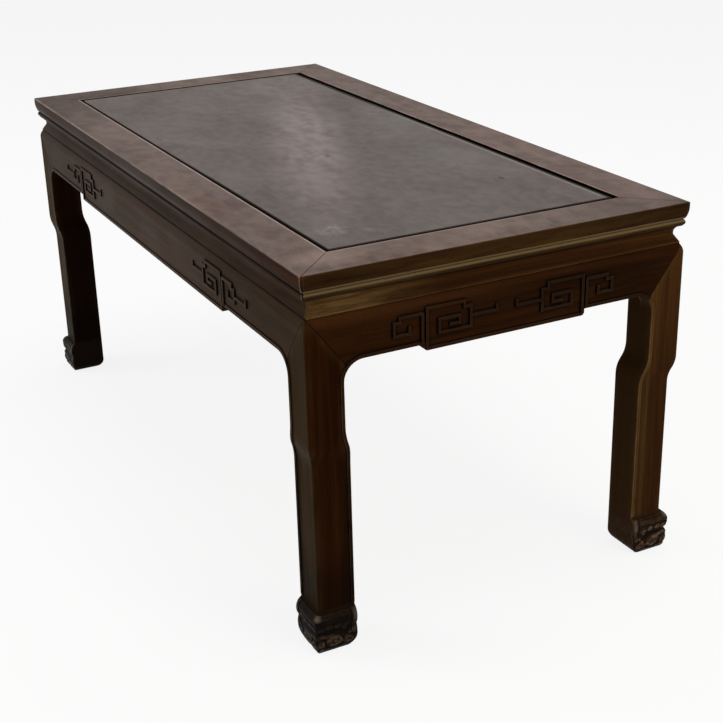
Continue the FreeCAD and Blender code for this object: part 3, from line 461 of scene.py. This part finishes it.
# Painted shade in the gaps along the board's edges, with some packed wax and dust: where it starts
# and where it is full, and along how much of an edge. There is most at the back and at the near
# end.
GAP_SHADE_EDGES = (
    (fading("x", 398.7, 399.4),),
    (fading("x", -401.8, -402.6),),
    (fading("y", 166.3, 166.9),),
    (fading("y", 164.7, 165.3), fading("x", 0, -200)),
    (fading("y", -170.3, -170.8), fading("x", -100, 150)),
)
PANEL_LINES = (
    GAP,
    *(coat(GAP_SHADE_AND_WAX, 0.95, *masks) for masks in GAP_SHADE_EDGES),
    # The board's back arris, rubbed light
    coat("#a09a94", 0.3, *ON_TOP, stripe("y", 162.8, 165.8), fading("x", 396, 386),
         fading("x", -150, 50)),
)
# Frets: painted shade on their walls, a painted highlight on the walls that look up, and the
# tops' own tone
FRET_WALLS = (fading("inset", 0.1, 0.5), fading("inset", 2.4, 1.9), fading("drop", *FRET_DROP))
FRET_TOPS = (fading("inset", 1.6, 0.8), fading("drop", *FRET_DROP))
FRET_COATS_LONG = (
    coat(DARK_WAX_AND_SHADE, 0.85, *FRET_WALLS, fading("sideward", 0.9, 0.5)),
    coat("#8a7c78", 0.28, *FRET_WALLS, fading("up", 0.4, 0.9)),
    coat("#574a44", 0.2, *FRET_TOPS),
)
FRET_COATS_SHORT = (
    coat(DARK_WAX_AND_SHADE, 0.85, *FRET_WALLS, fading("endward", 0.9, 0.5)),
    coat("#6a5c54", 0.3, *FRET_WALLS, fading("up", 0.4, 0.9)),
    coat("#261b15", 0.4, *FRET_TOPS),
)
LEG_COATS = (
    # Olive long sides, lighter than the ends in painted light from the left, with dark upright
    # streaks, darker towards their inner edges
    coat("#3d2d14", 0.6, SIDES),
    coat("#0f0b07", 0.45, SIDES, blotchy((5, 5, 220), 0.0)),
    coat(DARK_WAX_AND_SHADE, 0.6, SIDES, fading("from_end", 35, 42)),
    coat(DARK_WAX_AND_SHADE, 0.5, ENDS, fading("from_side", 34, 42), fading("drop", 70, 150)),
    coat("#43260f", 0.16, ENDS, blotchy((8, 6, 180), 0.0)),
    # Inner faces and the part above the foot, darker
    coat("#1a0905", 0.5, INNER_ENDS),
    coat("#140603", 0.6, INNER_SIDES),
    coat(DARK_WAX_AND_SHADE, 0.55, fading("drop", 290, 348)),
)
LEG_LINES = (
    APRON_JOINT_SHADE,
    coat(DARK_WAX_AND_SHADE, 0.55, fading("from_corner", 40, 47), fading("drop", 84, 100)),
    coat("#1a130d", 0.85, fading("drop", 371, 376)),
)
GOLDEN_LEG_LINES = (
    APRON_JOINT_SHADE,
    # Rough wax low on the inner face, and a darker foot
    coat("#4a3b2c", 0.45, fading("drop", 380, 388), INNER_SIDES, blotchy((7, 7, 6), 0.0)),
    coat("#2a1c10", 0.85, fading("drop", 371, 376), fading("endward", 0.1, 0.5)),
    coat("#2a1c12", 0.5, fading("drop", 360, 380), BROADSIDE),
)

# Every finish of the CAD nodes: its name, its grain, its darker and lighter brown, how it
# differs from LOOK, and the nodes that have it. The long sides' finishes are greyer than the
# ends' by a painted sheen.

FINISHES = (
    # Reddish black-brown under a pale painted sheen, with pale worn arrises that are partly painted
    # highlights, and black lines of painted shade in the moulding
    ("frame_rail_waxed_long", "x", "#221208", "#3a2211",
     {"worn_and_lit": "#b09c8e", "wear_and_highlight": 0.85, "arris": 3, "seam": corner_mitre,
      "coats": (*RAIL_COATS, coat(SIDE_SHEEN, 0.10, *FAR_SHEEN),
                # A painted highlight along the fascia's rounded lower edge, away from the near end
                coat("#8a7c74", 0.10, stripe("drop", 12.5, 16.2, 1.0), fading("x", 250, 50))),
      "lines": (coat("#ab9e95", 0.4, stripe("drop", 0.2, 1.4, 0.2), fading("inset", 3, 1.6),
                     blotchy((60, 30, 30), 0.4)),
                QUIRK_SHADE, FAR_QUIRK_SHADE, UNDER_BEAD_SHADE, GAP)},
     LONG_RAILS),
    # The same painted sheen on top, and an olive-brown moulding streaked along its length, with a
    # bead lit by a painted highlight above and darkened by painted shade below
    ("frame_rail_waxed_short", "y", "#1f1208", "#392410",
     {"worn_and_lit": "#8d7058", "wear_and_highlight": 0.5, "seam": corner_mitre, "dirt_and_shade": 0.3,
      "coats": (*RAIL_COATS,
                coat("#4a3a18", 0.3, ENDS, blotchy((30, 70, 9), 0.0)),
                coat(DARK_STREAK, 0.5, ENDS, fading("drop", 12, 3), blotchy((30, 90, 30), 0.3)),
                coat(DARK_STREAK, 0.35, ENDS, fading("y", -20, -200), stripe("drop", 0, 17, 1)),
                # The bead's upper half, lit by a painted highlight
                coat("#6b5a40", 0.7, stripe("drop", 16.5, 18.8)),
                coat("#7a6949", 0.8, fading("up", -0.1, 0.6), stripe("drop", 17, 27))),
      # Painted shade on the bead's underside and below it
      "lines": (coat(DARK_WAX_AND_SHADE, 0.75, fading("up", -0.1, -0.7), stripe("drop", 20, 28)),
                coat("#5f4c33", 0.3, stripe("drop", 25.0, 25.9, 0.3)), UNDER_BEAD_SHADE, GAP)},
     SHORT_RAILS),
    # A quiet grey-brown board, dulled by wax, its grey a painted sheen, with a broad pale streak of
    # painted reflection and few pores to see
    ("panel_board_waxed", "x", "#2e221b", "#34271f",
     {"worn_and_lit": "#6b5a50", "wear_and_highlight": 0.4, "shine": 0.012, "fibre_share": 0.2, "pore_share": 0.35,
      "coats": PANEL_COATS, "lines": PANEL_LINES},
     ("top_panel",)),
    # A plain dark hollow with a faint painted sheen, black with painted shade where it meets the
    # rail above and the apron below
    ("waist_long_waxed", "x", "#261a11", "#3a2a1d",
     {"worn_and_lit": "#5f4a30", "coats": (coat(SIDE_SHEEN, 0.06, *FAR_SHEEN),),
      "lines": (UNDER_BEAD_SHADE, FAR_BEAD_SHADE, APRON_JOINT_SHADE)},
     ("waist_front", "waist_back")),
    # A redder hollow with golden streaks of painted light by the near corner
    ("waist_short_waxed", "y", "#291608", "#412811",
     {"worn_and_lit": "#6a4c26", "wear_and_highlight": 0.3,
      "coats": (coat("#6b5330", 0.88, fading("y", -60, -200), blotchy((30, 60, 5), 0.2)),),
      "lines": (UNDER_BEAD_SHADE, coat(DARK_WAX_AND_SHADE, 0.6, stripe("drop", 27.4, 29.2)))},
     ("waist_right", "waist_left")),
    # Grey-brown carved frets, the grey a painted sheen, against dark wax and painted shade in their
    # corners
    ("apron_long_waxed", "x", "#2e2216", "#3d2c1e",
     {"worn_and_lit": "#5a483a", "wear_and_highlight": 0.25, "seam": shoulder_mitre, "corner": 4, "dirt_and_shade": 0.95,
      "open_from": 0.98, "closed_to": 0.7,
      "coats": (coat(SIDE_SHEEN, 0.075, *FAR_SHEEN),
                coat(DARK_WAX_AND_SHADE, 0.25, fading("x", -120, -420)), *FRET_COATS_LONG),
      "lines": (APRON_JOINT_SHADE,)},
     ("apron_front", "apron_back")),
    # The same carving, redder and darker, with a warm upper edge
    ("apron_short_waxed", "y", "#1d0e04", "#301908",
     {"worn_and_lit": "#5a4634", "wear_and_highlight": 0.25, "seam": shoulder_mitre, "corner": 4, "dirt_and_shade": 0.95,
      "open_from": 0.98, "closed_to": 0.7,
      "coats": (coat("#4a2b14", 0.55, fading("drop", 64, 46), fading("y", 120, -200)),
                *FRET_COATS_SHORT)},
     ("apron_right", "apron_left")),
    # Nearly black, olive on the long sides in painted light from the left, with a soft painted
    # highlight along the arrises
    ("leg_waxed", "z", "#1a0901", "#2a1305",
     {"worn_and_lit": "#6a5238", "soft_highlight": 0.3, "seam": shoulder_mitre, "coats": LEG_COATS,
      "lines": LEG_LINES},
     DARK_LEGS),
    # The one leg of lighter wood, golden brown with upright streaks
    ("leg_golden_waxed", "z", "#2c1708", "#3c220d",
     {"worn_and_lit": "#7a5c38", "soft_highlight": 0.3, "wear_and_highlight": 0.75, "seam": shoulder_mitre,
      "coats": (coat("#2b1a05", 0.85, BROADSIDE),
                coat("#5e4020", 0.18, fading("drop", 240, 80), ENDS),
                coat("#5e4a26", 0.45, ENDS, fading("from_side", 24, 40),
                     blotchy((6, 6, 200), 0.2)),
                coat("#1d1006", 0.4, ENDS, blotchy((5, 5, 180), 0.0))),
      "lines": GOLDEN_LEG_LINES},
     ("leg_back_right",)),
    # Planed and never polished: matt and even
    ("batten_planed", "y", "#2b1d13", "#402c1d", {"worn_and_lit": "#4a3524", "roughness": 0.6}, BATTENS),
    # Split pins, matt and paler than the frame that they lock
    ("pin_split", "z", "#3a2719", "#54392a", {"worn_and_lit": "#5d4230", "roughness": 0.6},
     ("mitre_pins",)),
)


def finish_wood():
    """Give each CAD node its own finish."""
    for name, grain, dark, light, changes, nodes in FINISHES:
        material = hardwood(name, grain, dark, light, **changes)
        for node in nodes:
            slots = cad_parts[node].data.materials
            slots.clear()
            slots.append(material)


# Carving on the two outer faces of each foot. It is drawn on one face as lines, each a list of
# (distance inside the table's corner, height), with half its width and its height off the
# ground, less than 0 where it is cut in. Both outer faces of all four feet carry it.

FOOT_HEIGHT = 49
FLARE_INSET = 7.7
NECK_HEIGHT = 43
NECK_INSET = 3.2
ROLL_FOOT = 26.4
ROLL_BULGE = 2.2
NOTCH_HEIGHT = 25.2
NOTCH_INSET = 3.6
BLOCK_BULGE = 2.4
SOLE_INSET = 5.2
INNER_INSET = 49.5
INNER_ROUND_HEIGHT = 14
INNER_ROUND_RADIUS = 15.8
CARVED_CORNER_RADIUS = 0.8
GROUND_LIFT = 0.6
LEAST_LIFT = 0.08
BOX_MARGIN = 0.05
CARVING_TOP = 45.5
FADE = 1.2
# The hand that cut it wandered by this much, over this far, and the same way in each run
WANDER = 0.9
WANDER_LENGTH = 7
WANDER_SEED = 1
SUNK = 0.5
CARVING_BACK = 1.6
COLUMNS = 200
ROWS = 110
# How finely the lines are drawn and followed
LINE_STEPS = 40
POINT_SPACING = 0.3
NEAREST_POINTS = 16


def arc_height(share, bulge):
    """How far a shallow arc stands off its chord."""
    return 4 * bulge * share * (1 - share)


def foot_inset(height):
    """How far the foot's outer face lies inside the table's side, at a height."""
    if height >= NECK_HEIGHT:
        share = (height - NECK_HEIGHT) / (FOOT_HEIGHT - NECK_HEIGHT)
        return NECK_INSET + (FLARE_INSET - NECK_INSET) * share
    if height >= ROLL_FOOT:
        share = (height - ROLL_FOOT) / (NECK_HEIGHT - ROLL_FOOT)
        return NECK_INSET - arc_height(share, ROLL_BULGE)
    if height >= NOTCH_HEIGHT:
        share = (height - NOTCH_HEIGHT) / (ROLL_FOOT - NOTCH_HEIGHT)
        return NOTCH_INSET + (NECK_INSET - NOTCH_INSET) * share
    share = height / NOTCH_HEIGHT
    chord = SOLE_INSET + (NOTCH_INSET - SOLE_INSET) * share
    return chord - arc_height(share, BLOCK_BULGE)


def foot_end(height):
    """How far inside the table's side the foot's inner side lies, at a height."""
    below = max(INNER_ROUND_HEIGHT - height, 0)
    reach = math.sqrt(INNER_ROUND_RADIUS ** 2 - below ** 2)
    return INNER_INSET - INNER_ROUND_RADIUS + reach


def scroll(centre, sizes, start_degrees, turns, shrink):
    """A line that winds inwards round a centre, losing a share of its sizes on the way."""
    count = max(int(abs(turns) * LINE_STEPS), 8)
    line = []
    for step in range(count + 1):
        share = step / count
        angle = math.radians(start_degrees) + share * turns * 2 * math.pi
        reach = 1 - shrink * share
        line.append((centre[0] + sizes[0] * reach * math.cos(angle),
                     centre[1] + sizes[1] * reach * math.sin(angle)))
    return line


def wave(start, end, swing, waves):
    """A line from start to end that swings above and below."""
    line = []
    for step in range(LINE_STEPS + 1):
        share = step / LINE_STEPS
        line.append((start[0] + (end[0] - start[0]) * share,
                     start[1] + (end[1] - start[1]) * share
                     + swing * math.sin(share * waves * 2 * math.pi)))
    return line


# Lines, half width, height
CARVED_LINES = (
    # The block: a large whorl, a ring at the corner, leaves at the inner end, waves at the sole
    (scroll((22, 11.8), (8.6, 6.0), 150, -1.5, 0.8), 2.6, 0.95),
    (scroll((6.2, 11.5), (2.7, 2.9), 0, 1.0, 0.1), 1.9, 0.9),
    (scroll((38.5, 9.5), (5.6, 3.0), 200, -0.9, 0.3), 2.2, 0.8),
    (wave((5, 3.2), (15, 3.4), 0.9, 1), 1.8, 0.8),
    (wave((24, 2.6), (36, 3.0), -0.7, 1), 1.5, 0.7),
    (wave((4, 20.2), (19, 19.6), 0.8, 1), 2.2, 0.85),
    (wave((36, 14), (44, 20), 0.6, 0.5), 2.2, 0.7),
    # The roll: a row of lobes over a wavy cut, and an upright band at the inner end
    (scroll((34.5, 27), (2.4, 1.6), 0, 1, 0.2), 2.6, 1.0),
    (scroll((25.5, 29.6), (3.0, 1.8), 0, 1, 0.2), 2.6, 0.8),
    (scroll((15.5, 30.2), (3.0, 1.8), 0, 1, 0.2), 2.6, 0.7),
    (scroll((7, 29.0), (2.4, 1.8), 0, 1, 0.2), 2.6, 0.8),
    (wave((46, 17), (46, 44), 0.0, 1), 2.8, 0.6),
    (wave((3, 39), (41, 39.5), 0.6, 1.5), 3.6, 0.4),
    # Cuts
    (((48, 15.6), (40, 15.6), (35, 18.2), (29, 22.5), (22, 23), (16, 22.4), (8, 25), (1, 24.4)),
     1.1, -0.6),
    (scroll((22, 11.8), (5.0, 3.3), 190, -1.3, 0.6), 0.9, -0.5),
    (((12, 16.5), (11, 11), (13.5, 5.5), (22, 4.6), (30, 5.2), (33, 9), (32.5, 14)), 0.9, -0.5),
    (scroll((38.5, 9.5), (3.0, 1.2), 200, -0.6, 0.2), 0.8, -0.4),
    (wave((1, 34.4), (41, 34.8), 0.8, 1.5), 0.9, -0.5),
    (((29.6, 26), (30.6, 31)), 0.8, -0.5),
    (((20.2, 27), (20.8, 33)), 0.8, -0.5),
    (((11, 27), (11.4, 33)), 0.8, -0.5),
    (wave((42.2, 19), (42.2, 45), 0.0, 1), 0.8, -0.5),
    (wave((4, 42.6), (40, 43.0), 0.5, 2), 0.7, -0.3),
)


def carved_points():
    """Every line as close points, with its half width and height."""
    points = []
    for line, half_width, height in CARVED_LINES:
        for (x, y), (next_x, next_y) in zip(line, line[1:]):
            count = max(int(math.hypot(next_x - x, next_y - y) / POINT_SPACING), 1)
            for step in range(count):
                share = step / count
                points.append((x + (next_x - x) * share, y + (next_y - y) * share,
                               half_width, height))
    return points


def relief_reader():
    """A function that tells how high the carving stands at a place on a face."""
    points = carved_points()
    tree = KDTree(len(points))
    for number, point in enumerate(points):
        tree.insert((point[0], point[1], 0), number)
    tree.balance()

    def height_at(along, up):
        top = cut = 0.0
        for _, number, distance in tree.find_n((along, up, 0), NEAREST_POINTS):
            half_width, height = points[number][2:]
            if distance < half_width:
                lift = height * math.sqrt(1 - (distance / half_width) ** 2)
                top = max(top, lift)
                cut = min(cut, lift)
        return top + cut
    return height_at


def wrapped(column, height):
    """A place round the foot's corner: its insets, and the way outwards."""
    radius = CARVED_CORNER_RADIUS
    inset = foot_inset(height)
    turn_length = radius * math.pi / 4
    along = abs(column) * (foot_end(height) - inset - radius + turn_length)
    if along > turn_length:
        place = Vector((inset, along - turn_length + radius + inset))
        way = Vector((-1, 0))
    else:
        angle = (math.pi / 4) * (1 - along / turn_length)
        way = Vector((-math.cos(angle), -math.sin(angle)))
        place = Vector((inset + radius, inset + radius)) + way * radius
    return (place, way) if column >= 0 else (place.yx, way.yx)


def make_foot_carving(height_at):
    """The carved skin of one foot, at the corner of the table at +X and +Y."""
    noise.seed_set(WANDER_SEED)
    bm = bmesh.new()
    bmesh.ops.create_grid(bm, x_segments=COLUMNS, y_segments=ROWS, size=1)
    carved_height = bm.verts.layers.float.new(CARVED_HEIGHT)
    for vert in bm.verts:
        height = (vert.co.y + 1) / 2 * CARVING_TOP
        place, way = wrapped(vert.co.x, height)
        along = max(place)
        edge = min(1, (foot_end(height) - along) / FADE, (CARVING_TOP - height) / FADE)
        hand = noise.noise_vector(Vector((along, height, 0)) / WANDER_LENGTH) * WANDER
        relief = height_at(along + hand.x, height + hand.y)
        raised = max(GROUND_LIFT + relief, LEAST_LIFT) * edge - SUNK * (1 - edge)
        place = place + way * min(raised, foot_inset(height) - BOX_MARGIN)
        vert[carved_height] = relief
        vert.co = Vector((TABLE_LENGTH / 2 - place.x, TABLE_WIDTH / 2 - place.y, height)) * MM
    bmesh.ops.recalc_face_normals(bm, faces=bm.faces)
    if bm.faces[0].normal.x + bm.faces[0].normal.y < 0:
        bmesh.ops.reverse_faces(bm, faces=bm.faces)
    return bm


def mesh_object(name, bm):
    mesh = bpy.data.meshes.new(name)
    bm.to_mesh(mesh)
    bm.free()
    piece = bpy.data.objects.new(name, mesh)
    bpy.context.scene.collection.objects.link(piece)
    return piece


# Dull light wood, partly a painted highlight, on the high places of the carving, black painted
# shade in its cuts, and painted highlights on worn places at the roll's corner and inner end. The
# front feet are darker.
NEAR_FRONT = fading("y", 0, -150)
FOOT_LOOK = {
    "worn_and_lit": "#6b5a4a", "wear_and_highlight": 0.25, "arris": 0.9, "shine": 0.02, "roughness": 0.35,
    "dirt_and_shade": 0.6, "corner": 3,
    "coats": (
        coat("#86705a", 0.42, carved(0.2, 0.9), blotchy((5, 5, 4), 0.05)),
        coat("#030202", 0.85, carved(-0.1, -0.4)),
        coat("#0a0604", 0.5, carved(0.35, 0.05), fading("drop", 386, 392)),
        coat(DARK_WAX_AND_SHADE, 0.75, NEAR_FRONT, stripe("drop", 380, 400, 3)),
        coat(DARK_WAX_AND_SHADE, 0.35, NEAR_FRONT),
        coat(DARK_WAX_AND_SHADE, 0.5, NEAR_FRONT, fading("broadside", 0.4, 0.8), fading("x", 250, 400)),
        coat(FOOT_WORN_HIGHLIGHT, 0.4, fading("from_corner", 10, 3), stripe("drop", 374, 381, 2)),
        coat(FOOT_WORN_HIGHLIGHT, 0.22, fading("from_corner", 43, 47), stripe("drop", 378, 390, 4)),
    ),
}


def make_feet():
    material = hardwood("foot_carved_waxed", "z", "#1d130b", "#302013", **FOOT_LOOK)
    first = make_foot_carving(relief_reader())
    for front, y_way in (("front", -1), ("back", 1)):
        for left, x_way in (("left", -1), ("right", 1)):
            bm = first.copy()
            bmesh.ops.scale(bm, vec=(x_way, y_way, 1), verts=bm.verts)
            if x_way * y_way < 0:
                bmesh.ops.reverse_faces(bm, faces=bm.faces)
            bmesh.ops.solidify(bm, geom=bm.faces[:], thickness=CARVING_BACK * MM)
            piece = mesh_object(f"foot_carving_{front}_{left}", bm)
            piece.data.polygons.foreach_set("use_smooth", [True] * len(piece.data.polygons))
            piece.data.materials.append(material)
            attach(piece, "root")
    first.free()


# Floor, backdrop and lamps, in metres and watts

FLOOR_HALF_SIZE = 14
FLOOR_COLOR = "#f2f2f2"
# Most of the floor's white is its own, and the rest takes the table's soft shadow
FLOOR_GLOW_SHARE = 0.85
WHITE = "#ffffff"
SKY_LIGHT = "#a8a8a8"
LAMP_AIM = Vector((0, 0, 0.3))
# Each lamp's place, size, power and colour
LAMPS = {
    "window_left": ((-1.6, -2.6, 1.7), 2.0, 40, WHITE),
    "fill_right": ((2.6, 0.9, 1.3), 1.6, 24, "#fff0dc"),
    "overhead": ((0.2, 0.4, 2.8), 2.2, 33, WHITE),
}


def shows_white(tree):
    """1 for rays that see the backdrop, straight, mirrored or through a clear thing."""
    path = add(tree, "ShaderNodeLightPath").outputs
    seen = add(tree, "ShaderNodeMath", {0: path["Is Camera Ray"], 1: path["Is Glossy Ray"]},
               operation="MAXIMUM").outputs[0]
    return add(tree, "ShaderNodeMath", {0: seen, 1: path["Is Transmission Ray"]},
               operation="MAXIMUM").outputs[0]


def make_floor():
    """A pale matt floor that reads as white but keeps the table's soft shadow."""
    bm = bmesh.new()
    bmesh.ops.create_grid(bm, x_segments=1, y_segments=1, size=FLOOR_HALF_SIZE)
    floor = mesh_object("floor", bm)
    material = new_material("pale_floor_matt")
    tree = material.node_tree
    matt = add(tree, "ShaderNodeBsdfDiffuse", {"Color": linear(FLOOR_COLOR)})
    glow = add(tree, "ShaderNodeEmission", {"Color": linear(WHITE), "Strength": 1.0})
    share = add(tree, "ShaderNodeMath", {0: shows_white(tree), 1: FLOOR_GLOW_SHARE},
                operation="MULTIPLY").outputs[0]
    both = add(tree, "ShaderNodeMixShader", {0: share, 1: matt.outputs[0], 2: glow.outputs[0]})
    add(tree, "ShaderNodeOutputMaterial", {"Surface": both.outputs[0]})
    floor.data.materials.append(material)


def make_world():
    world = bpy.data.worlds.new("studio")
    world.use_nodes = True
    tree = world.node_tree
    tree.nodes.clear()
    color = add(tree, "ShaderNodeMix",
                {0: shows_white(tree), COLOR_A: linear(SKY_LIGHT), COLOR_B: linear(WHITE)},
                data_type="RGBA").outputs[COLOR_OUT]
    sky = add(tree, "ShaderNodeBackground", {"Color": color, "Strength": 1.0})
    add(tree, "ShaderNodeOutputWorld", {"Surface": sky.outputs[0]})
    bpy.context.scene.world = world


def make_lamps():
    for name, (place, size, power, color) in LAMPS.items():
        data = bpy.data.lights.new(name, "AREA")
        data.shape = "DISK"
        data.size = size
        data.energy = power
        data.color = linear(color)[:3]
        lamp = bpy.data.objects.new(name, data)
        lamp.location = place
        lamp.rotation_euler = (LAMP_AIM - Vector(place)).to_track_quat("-Z", "Y").to_euler()
        bpy.context.scene.collection.objects.link(lamp)


make_camera()
finish_wood()
make_feet()
make_floor()
make_world()
make_lamps()
bpy.context.scene.view_settings.view_transform = "Standard"
